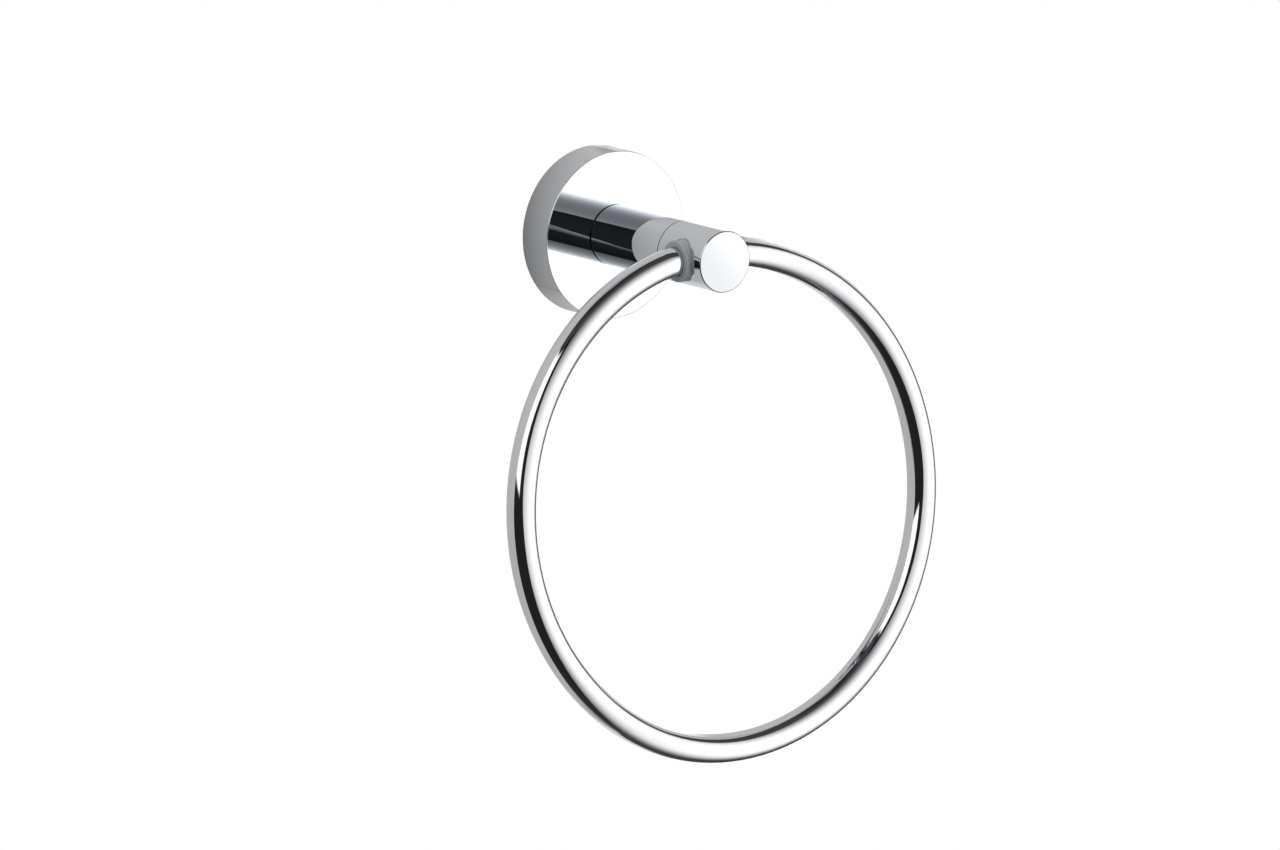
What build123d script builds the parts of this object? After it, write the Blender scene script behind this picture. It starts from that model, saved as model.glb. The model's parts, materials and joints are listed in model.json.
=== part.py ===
"""Towel ring: a chromed ring that swings in plastic bushes in the head of a wall post.

Millimetres. The wall is the plane y = 0, the post stands out along -Y, and +Z is up.
The origin is the centre of the wall face. "Out" is the distance from the wall.
"""

import os
from math import asin, cos, degrees, radians, sin, sqrt

from build123d import *

# Ring
RING_OUTER_DIAMETER = 170.0
RING_WIRE_DIAMETER = 9.5
RING_BEND_RADIUS = 14.0  # centreline, where a straight end turns into the circle
RING_END_GAP = 3.0  # between the two ends, inside the head
RING_END_STRAIGHT = 1.0  # straight length left outside each bush
RING_END_CHAMFER = 0.6
RING_LEAN = 5.5  # degrees that the ring's foot stands out from straight down

# Flange
FLANGE_DIAMETER = 55.0
FLANGE_DEPTH = 13.5
FLANGE_WALL = 2.0
FLANGE_PLATE = 3.0  # thickness of the front
FLANGE_FRONT_FILLET = 0.3
FLANGE_BACK_CHAMFER = 0.3

# Post and head
POST_DIAMETER = 20.0
POST_LENGTH = 36.0
HEAD_LENGTH = 23.0
POST_BASE_FILLET = 0.5
JOINT_FILLET = 0.2  # on both sides of the line between post and head
HEAD_FRONT_FILLET = 0.35

# Bushes
BUSH_WALL = 1.15  # of the sleeve inside the head
BUSH_COLLAR_DIAMETER = 13.6
BUSH_COLLAR_SEAT = 7.0  # from the head's axis to the shoulder that the collar sits on
BUSH_STAND_OUT = 1.5  # collar length outside the head, measured at its side
BUSH_SLEEVE_LENGTH = 5.0
BUSH_COLLAR_FILLET = 0.7
BUSH_MOUTH_CHAMFER = 0.12
RUNNING_CLEARANCE = 0.05  # radial, between ring and bush
SLEEVE_CLEARANCE = 0.05  # radial, between a bush's sleeve and the head
COLLAR_CLEARANCE = 0.2  # radial, between a bush's collar and its seat in the head

# Wall bracket: a disc whose edge is undercut, so that the flange is drawn to the wall
BRACKET_FRONT_DIAMETER = 41.0
BRACKET_UNDERCUT = 2.0  # the back is smaller than the front by this much, on the radius
BRACKET_THICKNESS = 5.0
BRACKET_HOLE_DIAMETER = 16.0
BRACKET_EDGE_CHAMFER = 0.3
SCREW_SLOT_SPACING = 26.5
SCREW_SLOT_LENGTH = 7.0
SCREW_SLOT_WIDTH = 4.5
HOOK_WIDTH = 16.0  # lug in the top of the flange that hooks behind the bracket's edge
HOOK_DEPTH = 3.2
HOOK_CLEARANCE = 0.15
WALL_CLEARANCE = 0.3  # hook and boss stand this far off the wall

# Set screw in the underside of the flange
SET_SCREW_DIAMETER = 4.0
SET_SCREW_OUT = 3.6
SET_SCREW_TIP_DIAMETER = 1.6
SET_SCREW_RECESS = 0.7  # below the flange's outside
SET_SCREW_SOCKET = 2.0
SET_SCREW_SOCKET_DEPTH = 2.2
SET_SCREW_BOSS_WALL = 1.2
SET_SCREW_BOSS_CLEARANCE = 0.9  # between the boss and the bracket

# Screw and washer that hold the post to the flange, and the stud that holds the head
POST_SCREW_DIAMETER = 6.0
POST_SCREW_ENGAGEMENT = 10.0
POST_SCREW_HEAD_DIAMETER = 10.0
POST_SCREW_HEAD_HEIGHT = 3.5
POST_SCREW_SOCKET = 4.0
POST_SCREW_SOCKET_DEPTH = 2.2
POST_SCREW_HOLE_CLEARANCE = 0.2
WASHER_DIAMETER = 10.8
WASHER_THICKNESS = 1.4
WASHER_SPLIT = 1.0
STUD_DIAMETER = 6.0
STUD_IN_POST = 9.0
STUD_IN_HEAD = 4.4
STUD_SOCKET = 3.0
STUD_SOCKET_DEPTH = 2.5
TAPPED_HOLE_SPARE = 0.5  # depth left past the end of a screw or stud
THREAD_CLEARANCE = 0.05  # radial, between a plain shank and its tapped hole
SCREW_EDGE_CHAMFER = 0.4

# Radii and places that follow from the sizes above
flange_radius = FLANGE_DIAMETER / 2
flange_inner_radius = flange_radius - FLANGE_WALL
plate_back_out = FLANGE_DEPTH - FLANGE_PLATE
post_radius = POST_DIAMETER / 2
joint_out = FLANGE_DEPTH + POST_LENGTH
front_out = joint_out + HEAD_LENGTH
pivot_out = joint_out + HEAD_LENGTH / 2
wire_radius = RING_WIRE_DIAMETER / 2
ring_radius = RING_OUTER_DIAMETER / 2 - wire_radius
bush_bore_radius = wire_radius + RUNNING_CLEARANCE
bush_sleeve_radius = bush_bore_radius + BUSH_WALL
bush_collar_radius = BUSH_COLLAR_DIAMETER / 2
bush_face = post_radius + BUSH_STAND_OUT
bracket_front_radius = BRACKET_FRONT_DIAMETER / 2
bracket_back_radius = bracket_front_radius - BRACKET_UNDERCUT
post_screw_radius = POST_SCREW_DIAMETER / 2
stud_radius = STUD_DIAMETER / 2
set_screw_radius = SET_SCREW_DIAMETER / 2
pivot_axis = Axis((0, -pivot_out, 0), (1, 0, 0))


def wall_plane(out):
    """Plane parallel to the wall at this distance from it, facing away from it."""
    return Plane.XZ.offset(out)


def bracket_edge_radius(out):
    """Radius of the bracket's undercut edge at this distance from the wall."""
    return bracket_back_radius + BRACKET_UNDERCUT * out / BRACKET_THICKNESS


# Wall bracket
with BuildPart() as wall_bracket:
    with BuildSketch(Plane.XY):
        with BuildLine():
            Polyline(
                (BRACKET_HOLE_DIAMETER / 2, 0),
                (bracket_back_radius, 0),
                (bracket_front_radius, -BRACKET_THICKNESS),
                (BRACKET_HOLE_DIAMETER / 2, -BRACKET_THICKNESS),
                close=True,
            )
        make_face()
    revolve(axis=Axis.Y)
    chamfer(wall_bracket.edges().filter_by(GeomType.CIRCLE), BRACKET_EDGE_CHAMFER)
    with BuildSketch(wall_plane(0)):
        with GridLocations(SCREW_SLOT_SPACING, 0, 2, 1):
            SlotOverall(SCREW_SLOT_LENGTH, SCREW_SLOT_WIDTH)
    extrude(amount=BRACKET_THICKNESS, mode=Mode.SUBTRACT)

# Lug inside the top of the flange, cut from a ring that follows the bracket's edge
with BuildPart() as hook_lug:
    hook_back_radius = bracket_edge_radius(WALL_CLEARANCE) + HOOK_CLEARANCE
    hook_front_radius = bracket_edge_radius(WALL_CLEARANCE + HOOK_DEPTH) + HOOK_CLEARANCE
    hook_root_radius = flange_inner_radius + FLANGE_WALL / 2
    with BuildSketch(Plane.XY):
        with BuildLine():
            Polyline(
                (hook_back_radius, -WALL_CLEARANCE),
                (hook_root_radius, -WALL_CLEARANCE),
                (hook_root_radius, -WALL_CLEARANCE - HOOK_DEPTH),
                (hook_front_radius, -WALL_CLEARANCE - HOOK_DEPTH),
                close=True,
            )
        make_face()
    revolve(axis=Axis.Y)
    with BuildSketch(wall_plane(0)):
        with Locations((0, hook_root_radius)):
            Rectangle(HOOK_WIDTH, 2 * hook_root_radius)
    extrude(amount=FLANGE_DEPTH, mode=Mode.INTERSECT)

# Flange: a cup with a flat polished front, a hook at the top and a screw boss at the foot
with BuildPart() as flange:
    with BuildSketch(wall_plane(0)):
        Circle(flange_radius)
    extrude(amount=FLANGE_DEPTH)
    fillet(flange.faces().sort_by(Axis.Y)[0].edges(), FLANGE_FRONT_FILLET)
    chamfer(flange.faces().sort_by(Axis.Y)[-1].edges(), FLANGE_BACK_CHAMFER)
    with BuildSketch(wall_plane(0)):
        Circle(flange_inner_radius)
    extrude(amount=plate_back_out, mode=Mode.SUBTRACT)
    with BuildSketch(wall_plane(plate_back_out)):
        Circle(post_screw_radius + POST_SCREW_HOLE_CLEARANCE)
    extrude(amount=FLANGE_PLATE, mode=Mode.SUBTRACT)
    add(hook_lug.part)
    boss_root = flange_inner_radius + FLANGE_WALL / 2
    boss_end = bracket_front_radius + SET_SCREW_BOSS_CLEARANCE
    with BuildSketch(Plane.XY.offset(-boss_root)):
        with Locations((0, -SET_SCREW_OUT)):
            Circle(set_screw_radius + SET_SCREW_BOSS_WALL)
    extrude(amount=boss_root - boss_end)
    with BuildSketch(Plane.XY.offset(-boss_end)):
        with Locations((0, -SET_SCREW_OUT)):
            Circle(set_screw_radius)
    extrude(amount=boss_end - FLANGE_DIAMETER, mode=Mode.SUBTRACT)

# Set screw, pointing up at the bracket's edge, with a cone point and a hexagon socket
set_screw_tip_radius = SET_SCREW_TIP_DIAMETER / 2
set_screw_tip = bracket_edge_radius(SET_SCREW_OUT + set_screw_tip_radius) + HOOK_CLEARANCE
set_screw_end = flange_radius - SET_SCREW_RECESS
with BuildPart() as set_screw:
    with BuildSketch(Plane.XY.offset(-set_screw_end)):
        with Locations((0, -SET_SCREW_OUT)):
            Circle(set_screw_radius - THREAD_CLEARANCE)
    extrude(amount=set_screw_end - set_screw_tip)
    point_length = set_screw_radius - THREAD_CLEARANCE - set_screw_tip_radius
    chamfer(set_screw.faces().sort_by(Axis.Z)[-1].edges(), point_length)
    chamfer(set_screw.faces().sort_by(Axis.Z)[0].edges(), SCREW_EDGE_CHAMFER)
    with BuildSketch(Plane.XY.offset(-set_screw_end)):
        with Locations((0, -SET_SCREW_OUT)):
            RegularPolygon(SET_SCREW_SOCKET / 2, 6, major_radius=False)
    extrude(amount=SET_SCREW_SOCKET_DEPTH, mode=Mode.SUBTRACT)

# Split spring washer under the screw head
with BuildPart() as lock_washer:
    with BuildSketch(wall_plane(plate_back_out - WASHER_THICKNESS)):
        Circle(WASHER_DIAMETER / 2)
        Circle(post_screw_radius + POST_SCREW_HOLE_CLEARANCE, mode=Mode.SUBTRACT)
        with Locations((0, WASHER_DIAMETER / 2)):
            Rectangle(WASHER_SPLIT, WASHER_DIAMETER, mode=Mode.SUBTRACT)
    extrude(amount=WASHER_THICKNESS)

# Screw from inside the flange into the foot of the post
screw_head_front = plate_back_out - WASHER_THICKNESS
screw_end = FLANGE_DEPTH + POST_SCREW_ENGAGEMENT
with BuildPart() as post_screw:
    with BuildSketch(wall_plane(screw_head_front - POST_SCREW_HEAD_HEIGHT)):
        Circle(POST_SCREW_HEAD_DIAMETER / 2)
    extrude(amount=POST_SCREW_HEAD_HEIGHT)
    chamfer(post_screw.faces().sort_by(Axis.Y)[-1].edges(), SCREW_EDGE_CHAMFER)
    with BuildSketch(wall_plane(screw_head_front)):
        Circle(post_screw_radius - THREAD_CLEARANCE)
    extrude(amount=screw_end - screw_head_front)
    chamfer(post_screw.faces().sort_by(Axis.Y)[0].edges(), SCREW_EDGE_CHAMFER)
    with BuildSketch(wall_plane(screw_head_front - POST_SCREW_HEAD_HEIGHT)):
        RegularPolygon(POST_SCREW_SOCKET / 2, 6, major_radius=False)
    extrude(amount=POST_SCREW_SOCKET_DEPTH, mode=Mode.SUBTRACT)

# Post, tapped at both ends
with BuildPart() as post:
    with BuildSketch(wall_plane(FLANGE_DEPTH)):
        Circle(post_radius)
    extrude(amount=POST_LENGTH)
    fillet(post.faces().sort_by(Axis.Y)[-1].edges(), POST_BASE_FILLET)
    fillet(post.faces().sort_by(Axis.Y)[0].edges(), JOINT_FILLET)
    with BuildSketch(wall_plane(FLANGE_DEPTH)):
        Circle(post_screw_radius)
    extrude(amount=POST_SCREW_ENGAGEMENT + TAPPED_HOLE_SPARE, mode=Mode.SUBTRACT)
    with BuildSketch(wall_plane(joint_out)):
        Circle(stud_radius)
    extrude(amount=-STUD_IN_POST - TAPPED_HOLE_SPARE, mode=Mode.SUBTRACT)

# Stud between post and head
with BuildPart() as head_stud:
    with BuildSketch(wall_plane(joint_out - STUD_IN_POST)):
        Circle(stud_radius - THREAD_CLEARANCE)
    extrude(amount=STUD_IN_POST + STUD_IN_HEAD)
    chamfer(head_stud.faces().sort_by(Axis.Y)[-1].edges(), SCREW_EDGE_CHAMFER)
    chamfer(head_stud.faces().sort_by(Axis.Y)[0].edges(), SCREW_EDGE_CHAMFER)
    with BuildSketch(wall_plane(joint_out + STUD_IN_HEAD)):
        RegularPolygon(STUD_SOCKET / 2, 6, major_radius=False)
    extrude(amount=-STUD_SOCKET_DEPTH, mode=Mode.SUBTRACT)

# Head: bored across for the ring's bushes, with a seat for each collar
with BuildPart() as head:
    with BuildSketch(wall_plane(joint_out)):
        Circle(post_radius)
    extrude(amount=HEAD_LENGTH)
    fillet(head.faces().sort_by(Axis.Y)[-1].edges(), JOINT_FILLET)
    fillet(head.faces().sort_by(Axis.Y)[0].edges(), HEAD_FRONT_FILLET)
    with BuildSketch(wall_plane(joint_out)):
        Circle(stud_radius)
    extrude(amount=STUD_IN_HEAD + TAPPED_HOLE_SPARE, mode=Mode.SUBTRACT)
    with BuildSketch(Plane.YZ):
        with Locations((-pivot_out, 0)):
            Circle(bush_sleeve_radius + SLEEVE_CLEARANCE)
    extrude(amount=post_radius, both=True, mode=Mode.SUBTRACT)
    for side in (-1, 1):
        with BuildSketch(Plane.YZ.offset(side * BUSH_COLLAR_SEAT)):
            with Locations((-pivot_out, 0)):
                Circle(bush_collar_radius + COLLAR_CLEARANCE)
        extrude(amount=side * post_radius, mode=Mode.SUBTRACT)


def make_bush(side):
    """Plastic bush on the left (-1) or right (1): a sleeve in the head and a round collar outside."""
    sleeve_end = BUSH_COLLAR_SEAT - BUSH_SLEEVE_LENGTH
    outline = [
        (sleeve_end, bush_bore_radius),
        (sleeve_end, bush_sleeve_radius),
        (BUSH_COLLAR_SEAT, bush_sleeve_radius),
        (BUSH_COLLAR_SEAT, bush_collar_radius),
        (bush_face, bush_collar_radius),
        (bush_face, bush_bore_radius),
    ]
    with BuildPart() as bush:
        with BuildSketch(Plane.XY):
            with BuildLine():
                Polyline(*[(side * x, r - pivot_out) for x, r in outline], close=True)
            make_face()
        revolve(axis=pivot_axis)
        end_edges = bush.faces().sort_by(Axis.X)[-1 if side > 0 else 0].edges().sort_by(SortBy.RADIUS)
        fillet(end_edges[-1], BUSH_COLLAR_FILLET)
        chamfer(end_edges[0], BUSH_MOUTH_CHAMFER)
    return bush


left_bush = make_bush(-1)
right_bush = make_bush(1)

# Ring: one round bar, bent so that its straight ends meet on the pivot axis inside the head
straight_end = bush_face + RING_END_STRAIGHT
bend_angle = degrees(asin(straight_end / (ring_radius - RING_BEND_RADIUS)))
ring_drop = RING_BEND_RADIUS + sqrt((ring_radius - RING_BEND_RADIUS) ** 2 - straight_end**2)
ring_plane = Plane(
    origin=(0, -pivot_out, 0),
    x_dir=(1, 0, 0),
    z_dir=(0, -cos(radians(RING_LEAN)), sin(radians(RING_LEAN))),
)
with BuildPart() as ring:
    with BuildLine(ring_plane) as centreline:
        right_end = Line((RING_END_GAP / 2, 0), (straight_end, 0))
        right_bend = JernArc(right_end @ 1, right_end % 1, RING_BEND_RADIUS, -bend_angle)
        circle = JernArc(right_bend @ 1, right_bend % 1, ring_radius, 2 * bend_angle - 360)
        left_bend = JernArc(circle @ 1, circle % 1, RING_BEND_RADIUS, -bend_angle)
        left_end = Line(left_bend @ 1, (-RING_END_GAP / 2, 0))
    with BuildSketch(Plane(origin=centreline.line @ 0, z_dir=centreline.line % 0)):
        Circle(wire_radius)
    sweep(path=centreline.line)
    end_faces = ring.faces().filter_by(GeomType.PLANE)
    chamfer(end_faces.edges(), RING_END_CHAMFER)

pieces = {
    "wall_bracket": wall_bracket,
    "flange": flange,
    "set_screw": set_screw,
    "lock_washer": lock_washer,
    "post_screw": post_screw,
    "post": post,
    "head_stud": head_stud,
    "head": head,
    "left_bush": left_bush,
    "right_bush": right_bush,
    "ring": ring,
}
os.makedirs("parts", exist_ok=True)
for name, piece in pieces.items():
    piece.part.label = name
    export_step(piece.part, f"parts/{name}.step")

print(f"pivot {pivot_out:.2f} out, front {front_out:.2f} out, ring centre {ring_drop:.3f} below the pivot")
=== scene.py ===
"""Looks of the towel ring: chrome, plastic and steel finishes, a studio and the camera.

Lengths are in metres. Directions round the part are in degrees: azimuth is 0 straight out from the wall
and grows to the right, and elevation grows upwards.
"""

import json
import math

import bpy
from mathutils import Matrix, Vector


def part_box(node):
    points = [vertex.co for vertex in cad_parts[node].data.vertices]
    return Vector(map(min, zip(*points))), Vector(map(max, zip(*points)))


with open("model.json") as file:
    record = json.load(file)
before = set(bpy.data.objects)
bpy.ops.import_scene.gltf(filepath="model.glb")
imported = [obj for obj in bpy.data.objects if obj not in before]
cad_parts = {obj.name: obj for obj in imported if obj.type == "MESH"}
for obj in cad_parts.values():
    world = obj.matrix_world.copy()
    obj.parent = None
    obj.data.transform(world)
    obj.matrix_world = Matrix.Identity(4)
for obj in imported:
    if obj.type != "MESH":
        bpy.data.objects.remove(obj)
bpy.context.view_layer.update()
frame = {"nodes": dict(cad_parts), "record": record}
nodes = frame["nodes"]
slot_of = {part["node"]: part["material_slot"] for part in frame["record"]["subparts"]}

# Camera: a long lens to the left of the part and a little above it
FRAME_WIDTH = 1280  # pixels, as the focal length is
FOCAL_PIXELS = 13500.0
SENSOR_WIDTH = 36.0  # millimetres
CAMERA_PLACE = Vector((-2.53115, -3.46394, 0.88340))
CAMERA_YAW = math.radians(36.349)
CAMERA_PITCH = math.radians(12.474)
CAMERA_ROLL = math.radians(-1.442)
CAMERA_CLIP_START = 0.1
CAMERA_CLIP_END = 100.0

# Colours
WHITE = (1.0, 1.0, 1.0, 1.0)
CHROME_COLOUR = (0.79, 0.8, 0.818, 1.0)
# Colour of the painted shade and painted dark reflection in the lines on post and head
PAINTED_SHADE_COLOUR = (0.02, 0.02, 0.022, 1.0)
# Painted shade on the head's front, from its darker lower left to its lighter upper right
FRONT_SHADE_COLOURS = ((0.64, 0.65, 0.665, 1.0), (0.745, 0.755, 0.772, 1.0))
PLASTIC_COLOURS = ((0.24, 0.256, 0.27, 1.0), (0.275, 0.292, 0.307, 1.0))
ZINC_COLOURS = ((0.42, 0.43, 0.44, 1.0), (0.6, 0.61, 0.62, 1.0))
STEEL_COLOURS = ((0.45, 0.46, 0.48, 1.0), (0.55, 0.56, 0.58, 1.0))
FLOOR_COLOUR = (0.85, 0.85, 0.84, 1.0)

# Surface detail. Roughness runs between two values. A noise has its scale, detail and roughness,
# and a bump its strength and distance.
CHROME_ROUGHNESS = (0.012, 0.03)
CHROME_HAZE = (90.0, 4.0, 0.6)
CHROME_WAVES = (130.0, 1.0, 0.5)
CHROME_BUMP = (0.02, 0.0004)
PLASTIC_ROUGHNESS = (0.42, 0.54)
PLASTIC_MOTTLE = (400.0, 3.0, 0.5)
PLASTIC_GRAIN = (5000.0, 2.0, 0.5)
PLASTIC_BUMP = (0.05, 0.00005)
ZINC_ROUGHNESS = (0.28, 0.48)
ZINC_SPANGLE = (260.0, 5.0, 0.65)
ZINC_BUMP = (0.12, 0.0001)
STEEL_ROUGHNESS = (0.22, 0.4)
STEEL_MARKS = (900.0, 4.0, 0.7)
STEEL_BUMP = (0.1, 0.00005)

# Painted lines on post and head: painted shade at the post's foot and in the joint of post and head, and a
# painted dark reflection on the front edge, each fading out between two distances from its edge
JOINT_SHADE_LINE = (0.00012, 0.00022)
FOOT_SHADE_LINE = (0.0004, 0.0006)
FRONT_REFLECTION_LINE = (0.00027, 0.00034)
FRONT_REFLECTION_LINE_DARKNESS = 0.75
# Painted highlight: the front edge's painted dark reflection is lighter where that edge catches the light
LIT_EDGE_TURN = math.radians(27.0)  # from the left upwards, where the front edge catches the light
LIT_EDGE_SHARES = (0.88, 0.97)  # of the radius in that direction, between which the line fades
LIT_EDGE_DARKNESS = 0.1  # share of the line's darkness that is left there

# Painted shade on the head's front, lighter to the right and upwards
FRONT_SHADE_DEPTHS = (0.00005, 0.0001)
FRONT_SHADE_RISE = 0.8

# Fades of the studio's lights. Most have two angles, and then the values at them where these aren't 0 and 1.
LIGHT_ACROSS_LOW = (-32.0, 42.0, 0.05, 1.0)  # brightness by azimuth, below the part
LIGHT_ACROSS_HIGH = (-40.0, 40.0, 0.42, 0.98)  # the same, above the part
LIGHT_LOW_TO_HIGH = (-35.0, 5.0)
LIGHT_TOP = (0.0, 40.0, 70.0, 60.0)  # elevation by azimuth
LIGHT_FULL_HEIGHT = 8.0
LIGHT_FOOT = (-88.0, -36.0)
LIGHT_CORE = (46.0, 0.0)  # azimuth and elevation of the brightest place
LIGHT_CORE_EXTRA = (20.0, 7.0, 0.0, 0.17)
LIGHT_CORNERS = ((-0.58, 61.2), (-1.5, 107.2))  # elevation of its outline: slope by azimuth, and start
LIGHT_CORNER_FADE = (6.0, -5.0)
LIGHT_END_DROP = (-10.0, -30.0)  # elevations between which the right end moves
LIGHT_END_OUTER = (12.0, 106.0)  # azimuth of the right end: its move, and where it is high up
LIGHT_END_INNER = (-28.0, 82.0)
GAP_PLACE = (112.0, -12.0)  # dim patch between the main light and the wall
GAP_FADE = (30.0, 8.0, 0.02, 0.08)
GAP_LEFT = (50.0, 70.0)
ROOM_DARKS = (66.0, 82.0, 0.045, 0.02)

FLAG_EDGE = (-6.0, 10.0, -16.5, -24.5)  # azimuth by elevation
FLAG_FADE = (1.0, -1.0)
FLAG_TOP = (66.0, 58.0)
FLAG_DARKS = (-40.0, -80.0, 0.014, 0.03)

PANEL_LEFT = (-94.0, -91.0)
PANEL_RIGHT = (24.0, 44.0, -51.0, -44.0)  # azimuth by elevation
PANEL_FOOT = (-90.0, -52.0, 14.0, 8.5)  # elevation by azimuth
PANEL_TOP = (-90.0, -50.0, 61.0, 56.0)
PANEL_SIDE_FADE = (2.0, -2.0)
PANEL_FOOT_FADE = (-1.5, 1.5)
PANEL_WHITE = 1.02

WALL_GREYS = (-25.0, 45.0, 0.41, 0.46)
WALL_FOOT = (-88.0, -60.0)
WALL_FOOT_GREY = 0.06
WALL_TOP = (62.0, 90.0)
WALL_TOP_GREY = 0.22
PALE_SLANT = (150.0, 120.0)
PALE_TOP = (50.0, 20.0)
PALE_LEFT = (60.0, 80.0)
PALE_GREY = 0.6
STRIP_SLANT = 139.0
STRIP_SIDES = (16.0, 6.0)
STRIP_TOP = (42.0, 24.0)
STRIP_FOOT = (-38.0, -22.0)
STRIP_WHITE = 0.98

FRONT_RIGHT = (-22.0, 28.0, 143.0, 81.0)  # azimuth by elevation, where the front ends
FRONT_RIGHT_HIGH = (1.0, -50.0)  # further bends of that end: slope by elevation, and start
FRONT_RIGHT_LOW = (-0.3, -6.6)
FRONT_RIGHT_DEEP = (-1.2, -66.0)
FRONT_RIGHT_FADE = (5.0, -5.0)
FRONT_LEFT = (60.0, 90.0, -93.0, -150.0)
FRONT_LEFT_DEEP = -0.5  # share of the deep bend
FRONT_LEFT_FADE = (-1.0, 1.0)

# Reflections: the studio's values are what one reflection in the chrome shows, and later ones are dimmer
CHROME_REFLECTANCE = 0.8
SECOND_BOUNCE = (12.0, 45.0, 1.0, 0.36)  # by how steeply the light comes from above or below
SECOND_TINT = (0.955, 0.995, 1.045, 1.0)
THIRD_BOUNCE = 0.45

# Light on matt surfaces: an even part and a share of the studio, stronger from above
EVEN_FILL = 0.5
STUDIO_SHARE = 0.6
MATT_SHADING = (-70.0, 80.0, 0.5, 1.7)

# Shade on the wall round the flange, which the flange's rim mirrors. Its sides go by the share of the
# way out from the flange's axis that lies to the right, or upwards.
SHADE_DEPTH = 0.62
SHADE_LEFT = (-1.0, 0.05, 1.0, 0.0)
SHADE_RIGHT = (0.05, 0.25, 0.0, 0.85)
SHADE_BELOW = (0.0, -0.4, 0.0, 0.8)
SHADE_REACH = 0.014
SHADE_WIDTH = 0.07
SHADE_GAP = 0.0002  # behind the wall face

# Reflector card beside the head
REFLECTOR_PLACE = Vector((-0.0119, -0.0681, -0.0007))
REFLECTOR_TURN = math.radians(37.0)
REFLECTOR_WIDTH = 0.0026
REFLECTOR_HEIGHT = 0.0080
REFLECTOR_WHITE = 1.3

FLOOR_DROP = 1.2
FLOOR_RADIUS = 0.7
CIRCLE_STEPS = 96


class Nodes:
    """Short ways to add shader nodes to one node tree and to link them."""

    def __init__(self, tree):
        self.tree = tree
        tree.nodes.clear()

    def add(self, kind, inputs=None, **settings):
        node = self.tree.nodes.new(kind)
        for name, value in settings.items():
            setattr(node, name, value)
        for name, value in (inputs or {}).items():
            self.put(node.inputs[name], value)
        return node

    def put(self, socket, value):
        if isinstance(value, bpy.types.NodeSocket):
            self.tree.links.new(value, socket)
        else:
            socket.default_value = value

    def finish(self, kind, surface):
        """Output node of this kind, showing this surface."""
        self.add(kind, {"Surface": surface})

    def maths(self, operation, *values):
        node = self.add("ShaderNodeMath", operation=operation)
        for socket, value in zip(node.inputs, values):
            self.put(socket, value)
        return node.outputs[0]

    def times(self, first, *others):
        for other in others:
            first = self.maths("MULTIPLY", first, other)
        return first

    def minus(self, first, second):
        return self.maths("SUBTRACT", first, second)

    def line(self, value, slope, start):
        """start where value is 0, growing by slope."""
        return self.maths("MULTIPLY_ADD", value, slope, start)

    def above(self, value, slope, start):
        """The same line where it is above 0, and 0 elsewhere."""
        return self.maths("MAXIMUM", self.line(value, slope, start), 0.0)

    def between(self, shape, value, low, high, at_low, at_high):
        inputs = {"Value": value, "From Min": low, "From Max": high, "To Min": at_low, "To Max": at_high}
        return self.add("ShaderNodeMapRange", inputs, interpolation_type=shape).outputs["Result"]

    def ease(self, value, low, high, at_low=0.0, at_high=1.0):
        """at_low on the low side, at_high on the high side, and a smooth step between them."""
        return self.between("SMOOTHSTEP", value, low, high, at_low, at_high)

    def slope(self, value, low, high, at_low, at_high):
        """Straight from at_low to at_high, and level beyond."""
        return self.between("LINEAR", value, low, high, at_low, at_high)

    def noise(self, vector, scale, detail, roughness):
        inputs = {"Vector": vector, "Scale": scale, "Detail": detail, "Roughness": roughness}
        return self.add("ShaderNodeTexNoise", inputs).outputs["Fac"]

    def axes(self, vector):
        return self.add("ShaderNodeSeparateXYZ", {"Vector": vector}).outputs

    def colours(self, factor, dark, light):
        node = self.add("ShaderNodeMix", data_type="RGBA")
        self.put(node.inputs["Factor"], factor)
        self.put(node.inputs[6], dark)
        self.put(node.inputs[7], light)
        return node.outputs[2]

    def blend(self, factor, low, high):
        node = self.add("ShaderNodeMix")
        self.put(node.inputs["Factor"], factor)
        self.put(node.inputs[2], low)
        self.put(node.inputs[3], high)
        return node.outputs[0]


def blank_material(name):
    material = bpy.data.materials.new(name)
    material.use_nodes = True
    return material, Nodes(material.node_tree)


def solid_material(name):
    material, kit = blank_material(name)
    place = kit.add("ShaderNodeTexCoord").outputs["Object"]
    shader = kit.add("ShaderNodeBsdfPrincipled")
    kit.finish("ShaderNodeOutputMaterial", shader.outputs[0])
    return material, kit, place, shader


def set_roughness(kit, shader, noise, roughness):
    kit.put(shader.inputs["Roughness"], kit.slope(noise, 0.0, 1.0, *roughness))


def add_bump(kit, shader, height, strength, distance):
    inputs = {"Height": height, "Strength": strength, "Distance": distance}
    kit.put(shader.inputs["Normal"], kit.add("ShaderNodeBump", inputs).outputs[0])


def chrome(name):
    """Polished plate: mirror bright, with hazier patches and the slight waviness of a buffed surface."""
    material, kit, place, shader = solid_material(name)
    shader.inputs["Base Color"].default_value = CHROME_COLOUR
    shader.inputs["Metallic"].default_value = 1.0
    set_roughness(kit, shader, kit.noise(place, *CHROME_HAZE), CHROME_ROUGHNESS)
    add_bump(kit, shader, kit.noise(place, *CHROME_WAVES), *CHROME_BUMP)
    return material, kit, shader


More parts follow.
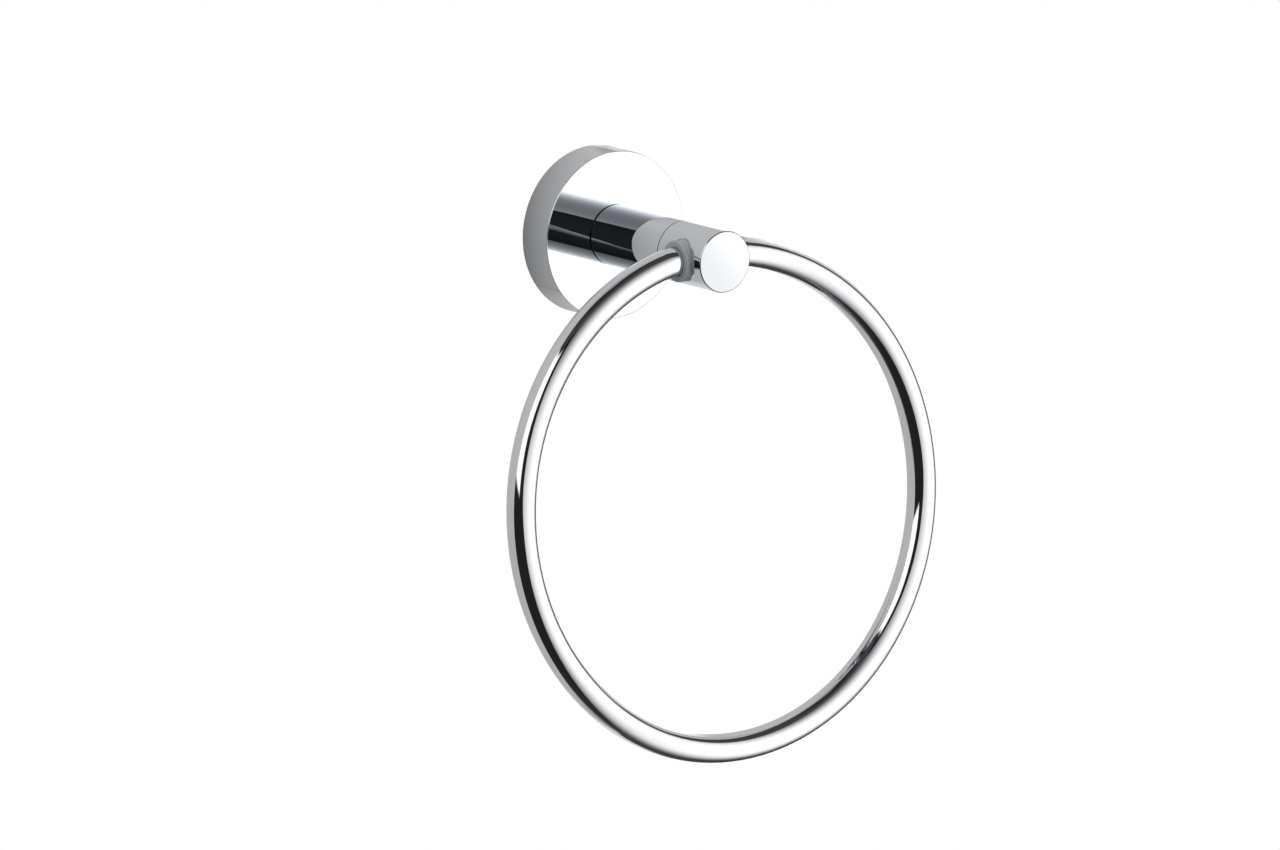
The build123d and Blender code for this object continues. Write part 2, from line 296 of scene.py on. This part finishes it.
def post_chrome():
    """Chrome of post and head, with painted shade on the flat front.

    It has painted shade at the post's foot and in the joint of post and head, and a painted dark reflection
    on the front edge, lighter where the edge catches the light.
    """
    material, kit, shader = chrome("post_chrome")
    low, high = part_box("head")
    front, joint, radius = low[1], high[1], high[2]
    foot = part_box("post")[1][1]
    axis = kit.axes(kit.add("ShaderNodeNewGeometry").outputs["Position"])
    across, along, upwards = axis["X"], axis["Y"], axis["Z"]

    # Painted shade in the joint of post and head and at the post's foot
    off_joint = kit.maths("ABSOLUTE", kit.line(along, 1.0, -joint))
    joint_shade_line = kit.ease(off_joint, *JOINT_SHADE_LINE, 1.0, 0.0)
    foot_shade_line = kit.ease(kit.line(along, -1.0, foot), *FOOT_SHADE_LINE, 1.0, 0.0)

    # Painted dark reflection along the front edge, with less of it where a painted highlight stands in for
    # the edge catching the light
    off_axis = kit.maths("SQRT", kit.line(across, across, kit.times(upwards, upwards)))
    behind_front = kit.line(along, 1.0, -front)
    off_edge = kit.maths("ADD", behind_front, kit.line(off_axis, -1.0, radius))
    front_reflection_line = kit.ease(off_edge, *FRONT_REFLECTION_LINE, FRONT_REFLECTION_LINE_DARKNESS, 0.0)
    left, rise = math.cos(LIT_EDGE_TURN), math.sin(LIT_EDGE_TURN)
    to_light = kit.line(across, -left, kit.times(upwards, rise))
    lit_start, lit_full = (radius * share for share in LIT_EDGE_SHARES)
    front_reflection_line = kit.times(front_reflection_line, kit.ease(to_light, lit_start, lit_full, 1.0, LIT_EDGE_DARKNESS))

    # Painted shade on the flat front, darker to the lower left and lighter to the right and upwards
    on_front = kit.ease(behind_front, *FRONT_SHADE_DEPTHS, 1.0, 0.0)
    corner = kit.maths("ADD", across, kit.times(upwards, FRONT_SHADE_RISE))
    front_shade = kit.colours(kit.ease(corner, -radius, radius), *FRONT_SHADE_COLOURS)
    colour = kit.colours(on_front, CHROME_COLOUR, front_shade)
    # The painted shade and painted dark reflection of the lines, laid over the front's colour
    dark = kit.maths("MAXIMUM", kit.maths("MAXIMUM", joint_shade_line, foot_shade_line), front_reflection_line)
    kit.put(shader.inputs["Base Color"], kit.colours(dark, colour, PAINTED_SHADE_COLOUR))
    return material


def bush_plastic():
    """Grey moulded plastic with a fine matt grain and faint mottling."""
    material, kit, place, shader = solid_material("bush_plastic")
    mottle = kit.noise(place, *PLASTIC_MOTTLE)
    kit.put(shader.inputs["Base Color"], kit.colours(mottle, *PLASTIC_COLOURS))
    set_roughness(kit, shader, mottle, PLASTIC_ROUGHNESS)
    add_bump(kit, shader, kit.noise(place, *PLASTIC_GRAIN), *PLASTIC_BUMP)
    return material


def bare_metal(name, noise, colours, roughness, bump):
    """Unpolished metal, mottled in colour, gloss and height by one noise."""
    material, kit, place, shader = solid_material(name)
    mottle = kit.noise(place, *noise)
    kit.put(shader.inputs["Base Color"], kit.colours(mottle, *colours))
    shader.inputs["Metallic"].default_value = 1.0
    set_roughness(kit, shader, mottle, roughness)
    add_bump(kit, shader, mottle, *bump)
    return material


def dress_nodes():
    """Give each node the finish of its material slot, and post and head their own chrome."""
    finishes = {
        "chrome": chrome("chrome")[0],
        "bush_plastic": bush_plastic(),
        "bracket_steel": bare_metal("bracket_steel", ZINC_SPANGLE, ZINC_COLOURS, ZINC_ROUGHNESS, ZINC_BUMP),
        "screw_steel": bare_metal("screw_steel", STEEL_MARKS, STEEL_COLOURS, STEEL_ROUGHNESS, STEEL_BUMP),
    }
    for name, node in nodes.items():
        node.data.materials.clear()
        node.data.materials.append(finishes[slot_of[name]])
    on_post = post_chrome()
    for name in ("post", "head"):
        nodes[name].data.materials[0] = on_post


class Sky:
    """Directions round the part as shader values."""

    def __init__(self, kit):
        self.kit = kit
        self.direction = kit.add("ShaderNodeTexCoord").outputs["Generated"]
        axis = kit.axes(self.direction)
        outwards = kit.times(axis["Y"], -1.0)
        self.azimuth = kit.maths("DEGREES", kit.maths("ARCTAN2", axis["X"], outwards))
        self.elevation = kit.maths("DEGREES", kit.maths("ARCSINE", axis["Z"]))

    def away_from(self, azimuth, elevation):
        """Angle from one direction."""
        a, e = math.radians(azimuth), math.radians(elevation)
        centre = (math.sin(a) * math.cos(e), -math.cos(a) * math.cos(e), math.sin(e))
        inputs = {0: self.direction, 1: centre}
        dot = self.kit.add("ShaderNodeVectorMath", inputs, operation="DOT_PRODUCT").outputs["Value"]
        return self.kit.maths("DEGREES", self.kit.maths("ARCCOSINE", dot))


def main_light(sky):
    """Large soft light in front and to the right, which fades upwards, downwards and to the left."""
    kit, azimuth, elevation = sky.kit, sky.azimuth, sky.elevation
    lower = kit.ease(azimuth, *LIGHT_ACROSS_LOW)
    upper = kit.ease(azimuth, *LIGHT_ACROSS_HIGH)
    across = kit.blend(kit.ease(elevation, *LIGHT_LOW_TO_HIGH), lower, upper)
    top = kit.slope(azimuth, *LIGHT_TOP)
    tall = kit.times(kit.ease(elevation, top, LIGHT_FULL_HEIGHT), kit.ease(elevation, *LIGHT_FOOT))
    core = kit.ease(sky.away_from(*LIGHT_CORE), *LIGHT_CORE_EXTRA)
    corner = kit.maths("MAXIMUM", *[kit.line(azimuth, slope, start) for slope, start in LIGHT_CORNERS])
    below_corner = kit.ease(kit.minus(elevation, corner), *LIGHT_CORNER_FADE)
    low = kit.ease(elevation, *LIGHT_END_DROP)
    before_end = kit.ease(azimuth, kit.line(low, *LIGHT_END_OUTER), kit.line(low, *LIGHT_END_INNER))
    light = kit.times(kit.line(across, tall, core), below_corner, before_end)
    gap = kit.times(kit.ease(sky.away_from(*GAP_PLACE), *GAP_FADE), kit.ease(azimuth, *GAP_LEFT))
    room = kit.ease(elevation, *ROOM_DARKS)
    return kit.maths("MAXIMUM", kit.maths("ADD", light, room), gap)


def black_flag(sky, front):
    """Black flag on the left of the main light."""
    kit, azimuth, elevation = sky.kit, sky.azimuth, sky.elevation
    edge = kit.ease(elevation, *FLAG_EDGE)
    flag = kit.times(kit.ease(kit.minus(azimuth, edge), *FLAG_FADE), kit.ease(elevation, *FLAG_TOP))
    return kit.blend(flag, front, kit.ease(elevation, *FLAG_DARKS))


def left_panel(sky, shown):
    """White panel at the upper left."""
    kit, azimuth, elevation = sky.kit, sky.azimuth, sky.elevation
    right = kit.ease(elevation, *PANEL_RIGHT)
    foot = kit.slope(azimuth, *PANEL_FOOT)
    top = kit.slope(azimuth, *PANEL_TOP)
    sides = kit.times(
        kit.ease(azimuth, *PANEL_LEFT),
        kit.ease(kit.minus(azimuth, right), *PANEL_SIDE_FADE),
    )
    panel = kit.times(
        sides,
        kit.ease(kit.minus(elevation, foot), *PANEL_FOOT_FADE),
        kit.ease(kit.minus(elevation, top), *PANEL_SIDE_FADE),
    )
    return kit.blend(panel, shown, PANEL_WHITE)


def back_wall(sky):
    """Grey behind the part, paler on the right, with a slanting white strip."""
    kit, azimuth, elevation = sky.kit, sky.azimuth, sky.elevation
    grey = kit.ease(elevation, *WALL_GREYS)
    grey = kit.blend(kit.ease(elevation, *WALL_FOOT), WALL_FOOT_GREY, grey)
    grey = kit.blend(kit.ease(elevation, *WALL_TOP), grey, WALL_TOP_GREY)
    slant = kit.maths("ADD", azimuth, elevation)
    pale = kit.times(
        kit.ease(slant, *PALE_SLANT),
        kit.ease(elevation, *PALE_TOP),
        kit.ease(azimuth, *PALE_LEFT),
    )
    grey = kit.blend(pale, grey, PALE_GREY)
    off_strip = kit.maths("ABSOLUTE", kit.minus(slant, STRIP_SLANT))
    strip = kit.times(
        kit.ease(off_strip, *STRIP_SIDES),
        kit.ease(elevation, *STRIP_TOP),
        kit.ease(elevation, *STRIP_FOOT),
    )
    return kit.blend(strip, grey, STRIP_WHITE)


def front_share(sky):
    """1 in front of the part, 0 behind it."""
    kit, azimuth, elevation = sky.kit, sky.azimuth, sky.elevation
    high = kit.above(elevation, *FRONT_RIGHT_HIGH)
    low = kit.above(elevation, *FRONT_RIGHT_LOW)
    deep = kit.above(elevation, *FRONT_RIGHT_DEEP)
    right = kit.slope(elevation, *FRONT_RIGHT)
    right = kit.maths("ADD", kit.maths("ADD", high, right), kit.maths("ADD", low, deep))
    left = kit.line(deep, FRONT_LEFT_DEEP, kit.slope(elevation, *FRONT_LEFT))
    past_left = kit.ease(kit.minus(azimuth, left), *FRONT_LEFT_FADE)
    before_right = kit.ease(kit.minus(azimuth, right), *FRONT_RIGHT_FADE)
    return kit.times(past_left, before_right)


def build_studio():
    """World: white to the camera, soft light on matt surfaces, and the whole studio in the chrome."""
    world = bpy.data.worlds.new("studio")
    bpy.context.scene.world = world
    world.use_nodes = True
    kit = Nodes(world.node_tree)
    sky = Sky(kit)
    front = black_flag(sky, main_light(sky))
    shown = left_panel(sky, kit.blend(front_share(sky), back_wall(sky), front))
    studio = kit.maths("DIVIDE", shown, CHROME_REFLECTANCE)

    rays = kit.add("ShaderNodeLightPath").outputs
    steep = kit.maths("ABSOLUTE", sky.elevation)
    again = kit.ease(rays["Glossy Depth"], 1.0, 2.0)
    thrice = kit.ease(rays["Glossy Depth"], 2.0, 3.0, 1.0, THIRD_BOUNCE)
    dimmer = kit.times(kit.blend(again, 1.0, kit.ease(steep, *SECOND_BOUNCE)), thrice)
    mirrored = kit.maths("MAXIMUM", rays["Is Glossy Ray"], rays["Is Transmission Ray"])
    matt = kit.times(kit.line(studio, STUDIO_SHARE, EVEN_FILL), kit.ease(sky.elevation, *MATT_SHADING))
    seen = kit.blend(mirrored, matt, kit.times(studio, dimmer))
    strength = kit.blend(rays["Is Camera Ray"], seen, 1.0)
    tint = kit.colours(again, WHITE, SECOND_TINT)
    background = kit.add("ShaderNodeBackground", {"Color": tint, "Strength": strength})
    kit.finish("ShaderNodeOutputWorld", background.outputs[0])


def add_mirrored_mesh(name, points, faces, material):
    """Stage piece that shows only in mirrors."""
    mesh = bpy.data.meshes.new(name)
    mesh.from_pydata(points, [], faces)
    mesh.materials.append(material)
    piece = bpy.data.objects.new(name, mesh)
    bpy.context.scene.collection.objects.link(piece)
    piece.visible_camera = False
    piece.visible_diffuse = False
    piece.visible_shadow = False
    piece.visible_volume_scatter = False


def build_wall_shade():
    """Shade on the wall round the flange, faint above it, which darkens only what the chrome mirrors."""
    low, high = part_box("flange")
    flange_radius = (high[0] - low[0]) / 2
    material, kit = blank_material("wall_shade")
    place = kit.add("ShaderNodeTexCoord").outputs["Object"]
    radius = kit.add("ShaderNodeVectorMath", {0: place}, operation="LENGTH").outputs["Value"]
    fade = kit.maths("EXPONENT", kit.line(radius, -1.0 / SHADE_REACH, flange_radius / SHADE_REACH))
    axis = kit.axes(place)
    across = kit.maths("DIVIDE", axis["X"], radius)
    upwards = kit.maths("DIVIDE", axis["Z"], radius)
    left = kit.slope(across, *SHADE_LEFT)
    right = kit.times(kit.slope(across, *SHADE_RIGHT), fade)
    below = kit.slope(upwards, *SHADE_BELOW)
    depth = kit.times(kit.maths("MAXIMUM", kit.maths("MAXIMUM", left, right), below), SHADE_DEPTH)
    clear = kit.add("ShaderNodeBsdfTransparent", {"Color": kit.line(kit.times(fade, depth), -1.0, 1.0)})
    kit.finish("ShaderNodeOutputMaterial", clear.outputs[0])

    points = []
    for rim in (flange_radius, flange_radius + SHADE_WIDTH):
        for step in range(CIRCLE_STEPS):
            turn = 2 * math.pi * step / CIRCLE_STEPS
            points.append((rim * math.cos(turn), SHADE_GAP, rim * math.sin(turn)))
    faces = []
    for step in range(CIRCLE_STEPS):
        after = (step + 1) % CIRCLE_STEPS
        faces.append((step, after, CIRCLE_STEPS + after, CIRCLE_STEPS + step))
    add_mirrored_mesh("wall_shade", points, faces, material)


def build_reflector():
    """Card between the ring's left end and the head, white to the ring's end and clear from behind."""
    material, kit = blank_material("reflector")
    back = kit.add("ShaderNodeNewGeometry").outputs["Backfacing"]
    white = kit.add("ShaderNodeEmission", {"Strength": REFLECTOR_WHITE}).outputs[0]
    clear = kit.add("ShaderNodeBsdfTransparent").outputs[0]
    one_sided = kit.add("ShaderNodeMixShader", {"Fac": back, 1: white, 2: clear})
    kit.finish("ShaderNodeOutputMaterial", one_sided.outputs[0])

    along = Vector((math.cos(REFLECTOR_TURN), math.sin(REFLECTOR_TURN), 0.0)) * REFLECTOR_WIDTH / 2
    upwards = Vector((0.0, 0.0, REFLECTOR_HEIGHT / 2))
    corners = [
        REFLECTOR_PLACE - along - upwards,
        REFLECTOR_PLACE - along + upwards,
        REFLECTOR_PLACE + along + upwards,
        REFLECTOR_PLACE + along - upwards,
    ]
    add_mirrored_mesh("reflector", corners, [(0, 1, 2, 3)], material)


def build_floor():
    """Pale round floor far below the part, white where the camera sees it."""
    bpy.ops.mesh.primitive_circle_add(
        vertices=CIRCLE_STEPS,
        radius=FLOOR_RADIUS,
        fill_type="NGON",
        location=(0, 0, -FLOOR_DROP),
    )
    floor = bpy.context.object
    floor.name = "floor"
    material, kit = blank_material("floor")
    matt = kit.add("ShaderNodeBsdfDiffuse", {"Color": FLOOR_COLOUR}).outputs[0]
    white = kit.add("ShaderNodeEmission", {"Strength": 1.0}).outputs[0]
    camera_ray = kit.add("ShaderNodeLightPath").outputs["Is Camera Ray"]
    mix = kit.add("ShaderNodeMixShader", {"Fac": camera_ray, 1: matt, 2: white})
    kit.finish("ShaderNodeOutputMaterial", mix.outputs[0])
    floor.data.materials.append(material)
    floor.visible_glossy = False


def build_camera():
    """Camera turned by its yaw and pitch, and then rolled about its own line of sight."""
    forward = Vector((
        math.sin(CAMERA_YAW) * math.cos(CAMERA_PITCH),
        math.cos(CAMERA_YAW) * math.cos(CAMERA_PITCH),
        -math.sin(CAMERA_PITCH),
    ))
    level = Vector((math.cos(CAMERA_YAW), -math.sin(CAMERA_YAW), 0.0))
    upright = level.cross(forward)
    right = math.cos(CAMERA_ROLL) * level + math.sin(CAMERA_ROLL) * upright
    up = math.cos(CAMERA_ROLL) * upright - math.sin(CAMERA_ROLL) * level
    data = bpy.data.cameras.new("camera")
    data.sensor_fit = "HORIZONTAL"
    data.sensor_width = SENSOR_WIDTH
    data.lens = FOCAL_PIXELS * SENSOR_WIDTH / FRAME_WIDTH
    data.clip_start = CAMERA_CLIP_START
    data.clip_end = CAMERA_CLIP_END
    camera = bpy.data.objects.new("camera", data)
    turn = Matrix((right, up, -forward)).transposed().to_4x4()
    camera.matrix_world = Matrix.Translation(CAMERA_PLACE) @ turn
    bpy.context.scene.collection.objects.link(camera)
    bpy.context.scene.camera = camera


dress_nodes()
build_studio()
build_wall_shade()
build_reflector()
build_floor()
build_camera()
bpy.context.scene.view_settings.view_transform = "Standard"
